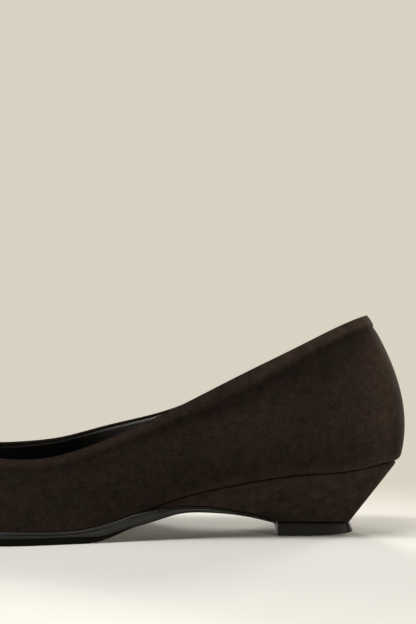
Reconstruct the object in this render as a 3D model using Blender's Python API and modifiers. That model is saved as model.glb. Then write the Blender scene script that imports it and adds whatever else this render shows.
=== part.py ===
"""Court shoe for the right foot, with a low sculpted wedge heel.

The shoe points along -X and stands on z = 0. Its inner (big toe) side faces -Y.
A station is a distance from the back of the heel towards the toe.
Every table is in millimetres and degrees. The model is in metres.
"""

import math
from collections import namedtuple

import bmesh
import bpy
import numpy as np
from mathutils import Vector

MM = 0.001

# Driving sizes, in millimetres
LENGTH = 250.0
COLLAR_HEIGHT = 85.7
THROAT = 180.6
THROAT_HEIGHT = 35.8
SEAT_HEIGHT = 28.1
FOREPART_HEIGHT = 4.8
WALL = 1.8
GAP = 0.3
MARGIN = 5.0
FEATHER_RADIUS = 3.0
BAND_WIDTH = 4.6
BAND_RAISE = 0.45
BAND_ROLL = 0.5
INSOLE_THICK = 1.6
INSOLE_INSET = 3.0
SOLE_REVEAL = 1.2
TOE_SPRING = 9.0
TOE_SWING = 5.0
SPRING_START = 148.0
SPRING_POWER = 1.8
HEEL_SETBACK = 2.0
HEEL_BULGE = 0.2
FLAP_REVEAL = 0.5
TIP_HEIGHT = 5.0
TIP_FLARE = 1.0
TIP_BACK_LIFT = 1.2
TIP_LIFT_LENGTH = 15.0
TIP_LIFT_POWER = 1.2

# How finely the loops are sampled
RIB_SAMPLES = 104
SOLE_SAMPLES = 96
HEEL_SAMPLES = 60
HEEL_LEVELS = 4
TIP_SAMPLES = 36
BEZIER_SAMPLES = 41
WALL_ROWS = 8
CORNER_ROWS = 3
BAND_SHARES = (1.0, 0.5, 0.12, 0.0)
SHARP_ANGLE = math.radians(35)

# The upper is a ring of ribs, each running from the feather edge up to the topline. A rib's foot is at
# (foot, half width) in plan, and its head at (top, half width, height). It leaves the foot leaning out
# by foot_lean and reaches the head leaning in by top_lean; the pulls say how far each lean carries.
Rib = namedtuple(
    "Rib",
    "place foot foot_inner foot_outer top top_inner top_outer high_inner high_outer "
    "foot_lean foot_pull top_lean top_pull",
)
RIBS = (
    Rib("back", 1.7, 0.0, 0.0, 15.5, 0.0, 0.0, COLLAR_HEIGHT, COLLAR_HEIGHT, 13.5, 21.0, 31, 18.5),
    Rib("back corner", 6.2, 14.4, 14.4, 19.6, 12.0, 12.0, 85.0, 83.2, 14, 20.0, 29, 18.0),
    Rib("seat side", 18.6, 24.6, 24.6, 30.7, 20.6, 20.6, 80.6, 76.4, 14, 18.0, 24, 17.5),
    Rib("seat", 35.5, 28.4, 28.4, 46.0, 24.0, 24.0, 73.1, 68.0, 14, 16.0, 18, 15.5),
    Rib("seat front", 56.0, 28.6, 28.8, 64.0, 26.4, 26.4, 64.4, 59.2, 15, 14.0, 12, 13.5),
    Rib("shank", 78.0, 27.8, 29.6, 82.0, 28.0, 28.0, 55.3, 51.5, 20, 12.5, 8, 12.0),
    Rib("waist", 100.0, 29.2, 32.6, 100.0, 29.8, 29.8, 46.5, 44.9, 20, 11.5, 8, 11.0),
    Rib("rear joint", 122.0, 35.2, 37.2, 121.0, 32.6, 31.6, 37.5, 39.7, 14, 10.0, 14, 9.5),
    Rib("outer joint", 144.0, 41.4, 40.0, 140.0, 34.8, 32.8, 32.1, 34.7, 9, 9.5, 22, 9.5),
    Rib("inner joint", 166.0, 43.2, 39.8, 156.0, 33.6, 31.8, 31.6, 32.8, 7, 9.5, 33, 11.0),
    Rib("toe root", 190.0, 38.6, 36.2, 167.5, 27.5, 26.4, 33.0, 32.8, 5, 10.0, 48, 16.0),
    Rib("toe side", 214.0, 29.6, 28.6, 175.0, 18.6, 18.2, 34.5, 34.2, 3, 11.0, 60, 23.0),
    Rib("toe", 234.0, 19.0, 18.6, 179.2, 9.2, 9.1, 35.5, 35.4, 1, 12.0, 66, 30.0),
    Rib("tip", 248.4, 0.0, 0.0, THROAT, 0.0, 0.0, THROAT_HEIGHT, THROAT_HEIGHT, 0, 12.5, 70, 34.0),
)

# Height of the feather line, where the upper sits on heel and sole, behind the toe spring
Feather = namedtuple("Feather", "station height")
FEATHER = (
    Feather(0, SEAT_HEIGHT),
    Feather(10, 28.2),
    Feather(20, 26.6),
    Feather(28, 25.6),
    Feather(40, 25.0),
    Feather(54, 23.4),
    Feather(70, 20.5),
    Feather(85, 17.0),
    Feather(100, 12.4),
    Feather(110, 8.9),
    Feather(120, 6.0),
    Feather(132, 4.6),
    Feather(140, 4.6),
    Feather(SPRING_START, FOREPART_HEIGHT),
    Feather(LENGTH, FOREPART_HEIGHT),
)

# The sole's flap under the wedge, from the heel tip forward to the waist: half widths, underside, top
Flap = namedtuple("Flap", "station inner outer under top")
FLAP = (
    Flap(52.1, 16.4, 16.4, 4.5, 5.2),
    Flap(60.0, 18.6, 18.6, 6.9, 8.0),
    Flap(70.0, 22.2, 22.4, 9.0, 10.4),
    Flap(80.0, 25.2, 26.2, 10.1, 12.2),
    Flap(90.0, 28.0, 29.8, 9.9, 12.5),
    Flap(100.0, 30.4, 33.8, 7.2, 11.2),
    Flap(108.0, 32.4, 36.0, 5.0, 9.3),
)

# Underside of the sole in front of the flap, down to the flat tread of the forepart
Under = namedtuple("Under", "station height")
UNDER = tuple(Under(row.station, row.under) for row in FLAP) + (
    Under(114, 2.6),
    Under(120, 0.6),
    Under(126, 0.0),
)

# Side of the sole, from the tread up: how far in from the edge, and share of the sole's thickness
Edge = namedtuple("Edge", "inset share")
SOLE_EDGE = (
    Edge(4.0, 0.0),
    Edge(1.5, 0.0),
    Edge(0.35, 0.34),
    Edge(0.2, 0.58),
    Edge(0.35, 0.70),
    Edge(0.0, 0.80),
    Edge(0.1, 0.93),
    Edge(0.7, 1.0),
    Edge(4.0, 1.0),
)

# Plan of the wedge's foot and of the heel tip, from the centre back forward along one side
Plan = namedtuple("Plan", "station half")
TIP_PLAN = (
    Plan(22.7, 0.0),
    Plan(22.8, 8.0),
    Plan(23.5, 13.6),
    Plan(26.6, 16.0),
    Plan(34.0, 16.4),
    Plan(43.0, 16.4),
    Plan(51.7, 16.4),
)
WEDGE_TIP = 103.0

# Side of the heel tip, from the floor up: how far in from the edge, and share of the tip's height
TIP_EDGE = (
    Edge(2.0, 0.0),
    Edge(0.6, 0.0),
    Edge(0.0, 0.12),
    Edge(0.0, 0.9),
    Edge(0.5, 1.0),
    Edge(2.0, 1.0),
)


def natural_spline(stations, values, at):
    """Natural cubic spline through (stations, values), read at the stations in at."""
    stations, values, at = (np.asarray(a, float) for a in (stations, values, at))
    count = len(stations)
    step = np.diff(stations)
    slope = np.diff(values) / step
    system = np.eye(count)
    right = np.zeros(count)
    for i in range(1, count - 1):
        system[i, i - 1 : i + 2] = step[i - 1], 2 * (step[i - 1] + step[i]), step[i]
        right[i] = 6 * (slope[i] - slope[i - 1])
    bend = np.linalg.solve(system, right)
    i = np.clip(np.searchsorted(stations, at) - 1, 0, count - 2)
    b = (at - stations[i]) / step[i]
    a = 1 - b
    curve = ((a**3 - a) * bend[i] + (b**3 - b) * bend[i + 1]) * step[i] ** 2 / 6
    return a * values[i] + b * values[i + 1] + curve


def closed_spline(rows, samples):
    """Periodic cubic spline through the rows, read at even steps that straddle the first row."""
    rows = np.asarray(rows, float)
    count = len(rows)
    turn = np.roll(np.eye(count), 1, axis=0)
    jump = np.roll(rows, -1, 0) - 2 * rows + np.roll(rows, 1, 0)
    bend = np.linalg.solve(4 * np.eye(count) + turn + turn.T, 6 * jump)
    at = (np.arange(samples) + 0.5) * count / samples
    i = at.astype(int)
    j = (i + 1) % count
    b = (at - i)[:, None]
    a = 1 - b
    return a * rows[i] + b * rows[j] + ((a**3 - a) * bend[i] + (b**3 - b) * bend[j]) / 6


def open_spline(rows, samples):
    """Natural cubic spline through the rows, read at even steps from the first row to the last."""
    rows = np.asarray(rows, float)
    at = np.linspace(0, len(rows) - 1, samples)
    return np.stack([natural_spline(range(len(rows)), column, at) for column in rows.T], axis=1)


def toeward(station):
    """Share of the way from the ball to the tip, growing ever faster from nothing at the ball."""
    return np.clip((station - SPRING_START) / (LENGTH - SPRING_START), 0, None) ** SPRING_POWER


def feather(station):
    """Height of the underside of the upper."""
    rows = np.array(FEATHER)
    return natural_spline(rows[:, 0], rows[:, 1], station) + TOE_SPRING * toeward(station)


def tread(station):
    """Height of the underside of the sole."""
    rows = np.array(UNDER)
    waist = natural_spline(rows[:, 0], rows[:, 1], station)
    flat = rows[-1, 0]
    return np.where(station < flat, np.maximum(waist, 0), 0) + TOE_SPRING * toeward(station)


def sole_top(station):
    """Height of the sole's top: under the wedge along the flap, and under the upper in front of it."""
    rows = np.array(FLAP)
    flap = natural_spline(rows[:, 0], rows[:, 4], station)
    return np.where(station < rows[-1, 0], flap, feather(station) - GAP)


def plan_normals(loop, closed=True):
    """Outward unit normals of a plan loop of (station, across) that runs back to toe on the inner side."""
    if closed:
        along = np.roll(loop, -1, 0) - np.roll(loop, 1, 0)
    else:
        along = np.gradient(loop, axis=0)
    along /= np.linalg.norm(along, axis=1)[:, None]
    return np.stack([along[:, 1], -along[:, 0]], axis=1)


def round_toe(rows):
    """Plan rows of (station, inner half, outer half) as one line from the back round the toe."""
    inner = [(station, -half) for station, half, _ in rows]
    outer = [(station, half) for station, _, half in rows]
    return inner + outer[-2::-1]


def round_back(rows):
    """The same rows as one line from the front of the outer side round the back to the inner side."""
    inner = [(station, -half) for station, half, _ in rows]
    outer = [(station, half) for station, _, half in rows]
    return outer[::-1] + inner[1:]


def rib_loop(samples):
    """Feet, heads and leans of the ribs, sampled round the shoe from the centre back."""
    inner = [(r.foot, -r.foot_inner, r.top, -r.top_inner, r.high_inner, *r[9:]) for r in RIBS]
    outer = [(r.foot, r.foot_outer, r.top, r.top_outer, r.high_outer, *r[9:]) for r in RIBS]
    loop = closed_spline(inner + outer[-2:0:-1], samples)
    return loop[:, 0:2], loop[:, 2:5], loop[:, 5:9]


def in_space(plan, height):
    """Points in metres from plan points and heights. The last's axis swings to the inner side at the toe."""
    station = plan[:, 0]
    across = plan[:, 1] - TOE_SWING * toeward(station)
    return np.stack([LENGTH / 2 - station, across, height], axis=1) * MM


def leaning(plan_direction, angle):
    """Unit directions that lean from the vertical towards a plan direction by an angle."""
    flat = np.stack([-plan_direction[:, 0], plan_direction[:, 1], np.zeros(len(angle))], axis=1)
    return np.sin(angle)[:, None] * flat + np.cos(angle)[:, None] * np.array([0, 0, 1.0])


def bezier(p0, p1, p2, p3, samples):
    t = np.linspace(0, 1, samples)[:, None, None]
    return (1 - t) ** 3 * p0 + 3 * t * (1 - t) ** 2 * p1 + 3 * t**2 * (1 - t) * p2 + t**3 * p3


def at_lengths(path, lengths):
    """Points of each rib's path at the given lengths along it; lengths is rows by ribs."""
    steps = np.linalg.norm(np.diff(path, axis=0), axis=2)
    run = np.concatenate([np.zeros((1, path.shape[1])), np.cumsum(steps, axis=0)])
    rows = np.empty((len(lengths), *path.shape[1:]))
    for rib in range(path.shape[1]):
        for axis in range(3):
            rows[:, rib, axis] = np.interp(lengths[:, rib], run[:, rib], path[:, rib, axis])
    return rows


def upper_surface(samples, wall_rows):
    """Outer face of the upper as rows of points, from the lasted edge under the foot to the topline."""
    foot, head, lean = rib_loop(samples)
    foot_out = plan_normals(foot)
    head_out = plan_normals(head[:, :2])
    foot_lean, top_lean = np.radians(lean[:, 0]), np.radians(lean[:, 2])
    foot_pull, top_pull = lean[:, 1], lean[:, 3]

    under = foot - MARGIN * foot_out
    rows = [in_space(under, feather(under[:, 0]))]
    for turn in np.linspace(0, 1, CORNER_ROWS, endpoint=False):
        angle = turn * (math.pi / 2 - foot_lean)
        inset = FEATHER_RADIUS * (1 - np.sin(angle))
        rise = FEATHER_RADIUS * (1 - np.cos(angle))
        corner = foot - inset[:, None] * foot_out
        rows.append(in_space(corner, feather(corner[:, 0]) + rise))

    start = foot - (FEATHER_RADIUS * (1 - np.cos(foot_lean)))[:, None] * foot_out
    low = in_space(start, feather(start[:, 0]) + FEATHER_RADIUS * (1 - np.sin(foot_lean)))
    high = in_space(head[:, :2], head[:, 2])
    rising = leaning(foot_out, foot_lean) * foot_pull[:, None] * MM
    falling = leaning(head_out, math.pi - top_lean) * top_pull[:, None] * MM
    path = bezier(low, low + rising, high + falling, high, BEZIER_SAMPLES)

    length = np.linalg.norm(np.diff(path, axis=0), axis=2).sum(axis=0)
    band = BAND_WIDTH * MM
    wall = np.linspace(0, 1, wall_rows)[:, None] * (length - band - BAND_RAISE * MM)
    top = length - band * np.array(BAND_SHARES)[:, None]
    rows = np.concatenate([np.array(rows), at_lengths(path, np.concatenate([wall, top]))])

    raised = np.zeros(len(rows))
    raised[-len(BAND_SHARES) :] = BAND_RAISE
    raised[-1] -= BAND_ROLL
    return rows + raised[:, None, None] * MM * grid_normals(rows)


def grid_normals(rows):
    """Outward unit normals of rows of points that each close on themselves."""
    across = np.roll(rows, -1, axis=1) - np.roll(rows, 1, axis=1)
    normal = np.cross(np.gradient(rows, axis=0), across)
    return normal / np.linalg.norm(normal, axis=2)[:, :, None]


def material(name, colour, roughness):
    made = bpy.data.materials.new(name)
    made.use_nodes = True
    shader = made.node_tree.nodes["Principled BSDF"]
    shader.inputs["Base Color"].default_value = (*colour, 1.0)
    shader.inputs["Roughness"].default_value = roughness
    shader.inputs["Metallic"].default_value = 0.0
    return made


def add_part(name, mesh_maker, surface, root, collection):
    """One named object whose mesh is filled in by mesh_maker."""
    mesh = bpy.data.meshes.new(name)
    shape = bmesh.new()
    mesh_maker(shape)
    shape.to_mesh(mesh)
    shape.free()
    mesh.shade_smooth()
    mesh.set_sharp_from_angle(angle=SHARP_ANGLE)
    mesh.materials.append(surface)
    part = bpy.data.objects.new(name, mesh)
    part.parent = root
    collection.objects.link(part)
    return part


def skin(shape, rows):
    """Joins rows of points, each closed on itself, with quads that face outwards."""
    grid = [[shape.verts.new(point) for point in row] for row in rows]
    count = len(grid[0])
    for low, high in zip(grid, grid[1:]):
        for i in range(count):
            j = (i + 1) % count
            shape.faces.new((low[i], high[i], high[j], low[j]))
    return grid


def ladder(shape, ring):
    """Closes a ring with rungs from its inner side to its outer side."""
    count = len(ring)
    for i in range(count // 2 - 1):
        shape.faces.new((ring[i], ring[i + 1], ring[count - 2 - i], ring[count - 1 - i]))


def ring_solid(rings):
    """A mesh maker for a solid with walls through the rings and a ladder on the first and the last."""

    def fill(shape):
        grid = skin(shape, rings)
        ladder(shape, grid[0])
        ladder(shape, grid[-1])
        bmesh.ops.recalc_face_normals(shape, faces=shape.faces)

    return fill


def insole_rings():
    foot, _, _ = rib_loop(RIB_SAMPLES)
    plan = foot - INSOLE_INSET * plan_normals(foot)
    bottom = feather(plan[:, 0]) + WALL + GAP
    return [in_space(plan, bottom), in_space(plan, bottom + INSOLE_THICK)]


def sole_rings():
    """The sole's edge, from the flap's end along the inner side to the toe and back."""
    rows = [(row.station, row.inner, row.outer) for row in FLAP]
    for rib in RIBS:
        if rib.foot > FLAP[-1].station:
            rows.append((rib.foot, rib.foot_inner + SOLE_REVEAL, rib.foot_outer + SOLE_REVEAL))
    rows[-1] = (RIBS[-1].foot + SOLE_REVEAL, 0, 0)
    loop = open_spline(round_toe(rows), SOLE_SAMPLES)
    normal = plan_normals(loop, closed=False)
    rings = []
    for edge in SOLE_EDGE:
        plan = loop - edge.inset * normal
        low, high = tread(plan[:, 0]), sole_top(plan[:, 0])
        rings.append(in_space(plan, low + edge.share * (high - low)))
    return rings


def halves_at(rows, station):
    """The plan row of (station, inner half, outer half) that the given rows have at a station."""
    inner = natural_spline(rows[:, 0], rows[:, 1], station)
    outer = natural_spline(rows[:, 0], rows[:, 2], station)
    return station, float(inner), float(outer)


def wedge_top():
    """Plan rows of the wedge's top, set back from the feather edge, from the centre back forward."""
    feet = np.array([(rib.foot, rib.foot_inner, rib.foot_outer) for rib in RIBS])
    seat = [row for row in feet if row[0] < WEDGE_TIP]
    seat.append(halves_at(feet, WEDGE_TIP))
    rows = [(station, inner - HEEL_SETBACK, outer - HEEL_SETBACK) for station, inner, outer in seat]
    rows[0] = (RIBS[0].foot + HEEL_SETBACK, 0, 0)
    return rows


def wedge_foot():
    """Plan rows of the wedge's foot: the heel tip's outline, then the flap's as far as the wedge goes."""
    flap = np.array([(row.station, row.inner - FLAP_REVEAL, row.outer - FLAP_REVEAL) for row in FLAP])
    rows = [(row.station, row.half, row.half) for row in TIP_PLAN]
    rows += [tuple(row) for row in flap[1:-1]]
    return rows + [halves_at(flap, WEDGE_TIP)]


def heel_rings():
    """The wedge, from its foot on the tip and the flap up to the feather line."""
    foot = open_spline(round_back(wedge_foot()), HEEL_SAMPLES)
    top = open_spline(round_back(wedge_top()), HEEL_SAMPLES)
    on_tip = foot[:, 0] < FLAP[0].station
    low = np.where(on_tip, TIP_HEIGHT, sole_top(foot[:, 0])) + GAP
    high = feather(top[:, 0]) - GAP
    rings = []
    for share in np.linspace(0, 1, HEEL_LEVELS):
        plan = foot + share * (top - foot)
        bulge = HEEL_BULGE * 4 * share * (1 - share)
        plan = plan + bulge * plan_normals(plan, closed=False)
        rings.append(in_space(plan, low + share * (high - low)))
    return rings


def tip_rings():
    """The heel tip, flaring towards the floor and lifted a little at its back edge."""
    plan = open_spline(round_back([(row.station, row.half, row.half) for row in TIP_PLAN]), TIP_SAMPLES)
    normal = plan_normals(plan, closed=False)
    rings = []
    for edge in TIP_EDGE:
        line = plan + (TIP_FLARE * (1 - edge.share) - edge.inset) * normal
        worn = np.clip((TIP_PLAN[0].station + TIP_LIFT_LENGTH - line[:, 0]) / TIP_LIFT_LENGTH, 0, None)
        lift = TIP_BACK_LIFT * worn**TIP_LIFT_POWER * (1 - edge.share)
        rings.append(in_space(line, edge.share * TIP_HEIGHT + lift))
    return rings


def stand_on_origin(root, collection):
    """Moves the shoe so that the middle of its box's underside is at the origin."""
    bpy.context.view_layer.update()
    graph = bpy.context.evaluated_depsgraph_get()
    points = []
    for part in collection.objects:
        if part.type == "MESH":
            made = part.evaluated_get(graph)
            points += [made.matrix_world @ vert.co for vert in made.data.vertices]
    low = Vector(min(point[axis] for point in points) for axis in range(3))
    high = Vector(max(point[axis] for point in points) for axis in range(3))
    root.location -= Vector(((low.x + high.x) / 2, (low.y + high.y) / 2, low.z))


def main():
    for old in list(bpy.data.objects):
        bpy.data.objects.remove(old)
    collection = bpy.data.collections.new("court_shoe")
    bpy.context.scene.collection.children.link(collection)
    root = bpy.data.objects.new("court_shoe_root", None)
    collection.objects.link(root)

    suede = material("suede", (0.022, 0.014, 0.010), 0.95)
    black = material("sole_black", (0.012, 0.012, 0.013), 0.4)
    rubber = material("tip_rubber", (0.010, 0.010, 0.010), 0.7)
    sock = material("sock_leather", (0.012, 0.012, 0.013), 0.55)

    upper = add_part(
        "upper",
        lambda shape: skin(shape, upper_surface(RIB_SAMPLES, WALL_ROWS)),
        suede,
        root,
        collection,
    )
    shell = upper.modifiers.new("wall", "SOLIDIFY")
    shell.thickness = WALL * MM
    shell.offset = -1
    shell.use_even_offset = True

    add_part("insole", ring_solid(insole_rings()), sock, root, collection)
    add_part("outsole", ring_solid(sole_rings()), black, root, collection)
    add_part("heel", ring_solid(heel_rings()), suede, root, collection)
    add_part("top_piece", ring_solid(tip_rings()), rubber, root, collection)
    stand_on_origin(root, collection)


main()
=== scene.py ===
"""Looks of a court shoe for the right foot: suede upper and wedge, black sole and heel tip, pale floor.

Tables are in millimetres and degrees, as in the part's source, and the model is in metres.
A station is a distance from the back of the heel towards the toe.
"""

import math
from collections import namedtuple

import bmesh
import bpy
import numpy as np
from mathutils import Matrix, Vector


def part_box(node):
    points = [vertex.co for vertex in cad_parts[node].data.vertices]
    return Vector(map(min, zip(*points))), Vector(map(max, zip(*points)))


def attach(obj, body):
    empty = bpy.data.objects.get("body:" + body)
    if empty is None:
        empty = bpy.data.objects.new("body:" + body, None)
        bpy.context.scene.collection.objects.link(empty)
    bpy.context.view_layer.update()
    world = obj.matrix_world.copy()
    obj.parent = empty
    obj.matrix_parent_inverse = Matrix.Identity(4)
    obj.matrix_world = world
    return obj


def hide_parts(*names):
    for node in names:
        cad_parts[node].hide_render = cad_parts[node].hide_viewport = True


MM = 0.001

# The shoe's driving sizes, as in the part's source
LENGTH = 250.0
COLLAR_HEIGHT = 85.7
THROAT = 180.6
THROAT_HEIGHT = 35.8
SEAT_HEIGHT = 28.1
FOREPART_HEIGHT = 4.8
WALL = 1.8
GAP = 0.3
MARGIN = 5.0
FEATHER_RADIUS = 3.0
BAND_WIDTH = 4.6
BAND_RAISE = 0.45
INSOLE_THICK = 1.6
SOLE_REVEAL = 1.2
TOE_SPRING = 9.0
TOE_SWING = 5.0
SPRING_START = 148.0
SPRING_POWER = 1.8
HEEL_SETBACK = 2.0
HEEL_BULGE = 0.2
FLAP_REVEAL = 0.5
TIP_HEIGHT = 5.0
TIP_FLARE = 1.0
TIP_BACK_LIFT = 1.2
TIP_LIFT_LENGTH = 15.0
TIP_LIFT_POWER = 1.2
WEDGE_TIP = 103.0
TREAD_THICK = 2.5
TREAD_THIN = 0.08
TREAD_FADE = (102.0, 132.0)
SOLE_TURN = 0.8
TURN_FADE = (86.0, 112.0)
BEAD_DEPTH = 0.45
BEAD_RISE = 0.65
BEAD_START = (94.0, 106.0)

# Layers of the upper's wall: the suede lies on the last's surface, the lining fills the wall behind it
SUEDE = 0.9
LAYER_GAP = 0.04
CROWN_WIDTH = 2.6
CROWN_DROP = 0.45
TOP_ROLL = 0.56
LINING_DROP = 1.1
LINING_HEM = 1.3
LINING_HEM_RAISE = 0.2
SEAM_DEPTH = 0.35
SEAM_HALF = 0.4
SEAM_RIDGE = 0.16
SEAM_RIDGE_OUT = 1.2
SEAM_RIDGE_HALF = 0.6
SEAM_REACH = 40.0
SEAM_FADE = 1.5

# Painted light and shade on the suede, as shares of the open wall's colour: painted shade in the trough
# under the band, a painted highlight in a thin line along the rolled feather edge, and the wedge's suede
# paler all over.
# The trough's painted shade runs out upwards within so many half widths, and the painted light or shade at
# the feather edge runs out within so many millimetres up the wall.
TROUGH_SHADE = 0.42
TROUGH_SHADE_SPREAD = 1.1
FOOT_LIGHT_REACH = 19.0
EDGE_HIGHLIGHT = 0.17
EDGE_HIGHLIGHT_HALF = 1.0
NAP_WEDGE = 1.1

# Depth of the suede's grain, and how much mottle is mixed into its patches, as shares
UPPER_GRAIN = 0.48
UPPER_MOTTLE = 0.4
WEDGE_GRAIN = 0.28
WEDGE_MOTTLE = 0.6

# The middle range of a noise texture, where most of its values lie
NOISE_MIDDLE = (0.3, 0.7)

# Places of the colour sockets on Blender's mix node, whose names repeat
MIX_FACTOR, MIX_A, MIX_B, MIX_RESULT = 0, 6, 7, 2

# How finely the pieces are sampled
RING_SAMPLES = 360
SEAM_SAMPLES = 8
SEAM_STEP = 0.013
BEZIER_SAMPLES = 81
MARGIN_ROWS = 2
CORNER_ROWS = 6
WALL_ROWS = 36
ROLL_ROWS = 7
SOLE_SAMPLES = 400
HEEL_SAMPLES = 240
HEEL_LEVELS = 18
TIP_SAMPLES = 160
SHARP_ANGLE = math.radians(40)

# The upper is a ring of ribs, each running from the feather edge up to the topline. A rib's foot is at
# (foot, half width) in plan, and its head at (top, half width, height). It leaves the foot leaning out
# by foot_lean and reaches the head leaning in by top_lean; the pulls say how far each lean carries.
Rib = namedtuple(
    "Rib",
    "place foot foot_inner foot_outer top top_inner top_outer high_inner high_outer "
    "foot_lean foot_pull top_lean top_pull",
)
RIBS = (
    Rib("back", 1.7, 0.0, 0.0, 15.5, 0.0, 0.0, COLLAR_HEIGHT, COLLAR_HEIGHT, 13.5, 21.0, 31, 18.5),
    Rib("back corner", 6.2, 14.4, 14.4, 19.6, 12.0, 12.0, 85.0, 83.2, 14, 20.0, 29, 18.0),
    Rib("seat side", 18.6, 24.6, 24.6, 30.7, 20.6, 20.6, 80.6, 76.4, 14, 18.0, 24, 17.5),
    Rib("seat", 35.5, 28.4, 28.4, 46.0, 24.0, 24.0, 73.1, 68.0, 14, 16.0, 18, 15.5),
    Rib("seat front", 56.0, 28.6, 28.8, 64.0, 26.4, 26.4, 64.4, 59.2, 15, 14.0, 12, 13.5),
    Rib("shank", 78.0, 27.8, 29.6, 82.0, 28.0, 28.0, 55.3, 51.5, 20, 12.5, 8, 12.0),
    Rib("waist", 100.0, 29.2, 32.6, 100.0, 29.8, 29.8, 46.5, 44.9, 20, 11.5, 8, 11.0),
    Rib("rear joint", 122.0, 35.2, 37.2, 121.0, 32.6, 31.6, 37.5, 39.7, 14, 10.0, 14, 9.5),
    Rib("outer joint", 144.0, 41.4, 40.0, 140.0, 34.8, 32.8, 32.1, 34.7, 9, 9.5, 22, 9.5),
    Rib("inner joint", 166.0, 43.2, 39.8, 156.0, 33.6, 31.8, 31.6, 32.8, 7, 9.5, 33, 11.0),
    Rib("toe root", 190.0, 38.6, 36.2, 167.5, 27.5, 26.4, 33.0, 32.8, 5, 10.0, 48, 16.0),
    Rib("toe side", 214.0, 29.6, 28.6, 175.0, 18.6, 18.2, 34.5, 34.2, 3, 11.0, 60, 23.0),
    Rib("toe", 234.0, 19.0, 18.6, 179.2, 9.2, 9.1, 35.5, 35.4, 1, 12.0, 66, 30.0),
    Rib("tip", 248.4, 0.0, 0.0, THROAT, 0.0, 0.0, THROAT_HEIGHT, THROAT_HEIGHT, 0, 12.5, 70, 34.0),
)

# Height of the feather line, where the upper sits on heel and sole, behind the toe spring
Feather = namedtuple("Feather", "station height")
FEATHER = (
    Feather(0, SEAT_HEIGHT),
    Feather(10, 28.2),
    Feather(20, 26.6),
    Feather(28, 25.6),
    Feather(40, 25.0),
    Feather(54, 23.4),
    Feather(70, 20.5),
    Feather(85, 17.0),
    Feather(100, 12.4),
    Feather(110, 8.9),
    Feather(120, 6.0),
    Feather(132, 4.6),
    Feather(140, 4.6),
    Feather(SPRING_START, FOREPART_HEIGHT),
    Feather(LENGTH, FOREPART_HEIGHT),
)

# The sole's flap under the wedge, from the heel tip forward to the waist: half widths, underside, top
Flap = namedtuple("Flap", "station inner outer under top")
FLAP = (
    Flap(52.1, 16.4, 16.4, 4.5, 5.2),
    Flap(60.0, 18.6, 18.6, 6.9, 8.0),
    Flap(70.0, 22.2, 22.4, 9.0, 10.4),
    Flap(80.0, 25.2, 26.2, 10.1, 12.2),
    Flap(90.0, 28.0, 29.8, 9.9, 12.5),
    Flap(100.0, 30.4, 33.8, 7.2, 11.2),
    Flap(108.0, 32.4, 36.0, 5.0, 9.3),
)

# Underside of the sole in front of the flap, down to the flat tread of the forepart
Under = namedtuple("Under", "station height")
UNDER = tuple(Under(row.station, row.under) for row in FLAP) + (
    Under(114, 2.6),
    Under(120, 0.6),
    Under(126, 0.0),
)

# Sides of sole, bead, tread, tip, wedge and sock, from below up: how far in from the edge, and share of
# the height. WEDGE_WALL is where the wedge's plain wall starts and ends, between its two rounded edges.
Edge = namedtuple("Edge", "inset share")
SOLE_EDGE = (
    Edge(4.0, 0.0),
    Edge(0.8, 0.0),
    Edge(0.56, 0.03),
    Edge(0.4, 0.09),
    Edge(0.26, 0.19),
    Edge(0.15, 0.32),
    Edge(0.07, 0.47),
    Edge(0.04, 0.6),
    Edge(0.08, 0.72),
    Edge(0.19, 0.84),
    Edge(0.38, 0.94),
    Edge(0.6, 0.99),
    Edge(0.9, 1.0),
    Edge(4.0, 1.0),
)
BEAD_EDGE = (
    Edge(4.0, 0.0),
    Edge(0.7, 0.0),
    Edge(0.48, 0.05),
    Edge(0.33, 0.18),
    Edge(0.26, 0.36),
    Edge(0.28, 0.54),
    Edge(0.38, 0.72),
    Edge(0.58, 0.88),
    Edge(0.86, 0.97),
    Edge(1.16, 1.0),
    Edge(1.44, 0.9),
    Edge(1.6, 0.6),
    Edge(1.7, 0.3),
    Edge(4.0, 0.3),
)
TREAD_EDGE = (
    Edge(4.5, 0.0),
    Edge(0.5, 0.0),
    Edge(0.3, 0.03),
    Edge(0.2, 0.12),
    Edge(0.18, 0.5),
    Edge(0.22, 0.9),
    Edge(0.34, 0.98),
    Edge(0.6, 1.0),
    Edge(4.5, 1.0),
)
TIP_EDGE = (
    Edge(2.0, 0.0),
    Edge(0.3, 0.0),
    Edge(0.1, 0.02),
    Edge(0.0, 0.06),
    Edge(0.0, 0.5),
    Edge(0.0, 0.88),
    Edge(0.1, 0.95),
    Edge(0.3, 0.99),
    Edge(0.6, 1.0),
    Edge(2.0, 1.0),
)
WEDGE_FOOT_EDGE = (Edge(2.0, 0.0), Edge(0.45, 0.0), Edge(0.15, 0.008), Edge(0.03, 0.022))
WEDGE_WALL = (0.05, 0.94)
WEDGE_TOP_EDGE = (Edge(0.06, 0.962), Edge(0.22, 0.98), Edge(0.55, 0.994), Edge(1.0, 1.0), Edge(2.5, 1.0))
SOCK_EDGE = (
    Edge(3.4, 0.0),
    Edge(2.7, 0.0),
    Edge(2.2, 0.35),
    Edge(2.0, 0.7),
    Edge(2.15, 0.9),
    Edge(2.6, 1.0),
    Edge(4.5, 1.02),
    Edge(8.0, 1.0),
)

# Plan of the wedge's foot and of the heel tip, from the centre back forward along one side
Plan = namedtuple("Plan", "station half")
TIP_PLAN = (
    Plan(22.7, 0.0),
    Plan(22.8, 8.0),
    Plan(23.5, 13.6),
    Plan(26.6, 16.0),
    Plan(34.0, 16.4),
    Plan(43.0, 16.4),
    Plan(51.7, 16.4),
)
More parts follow.
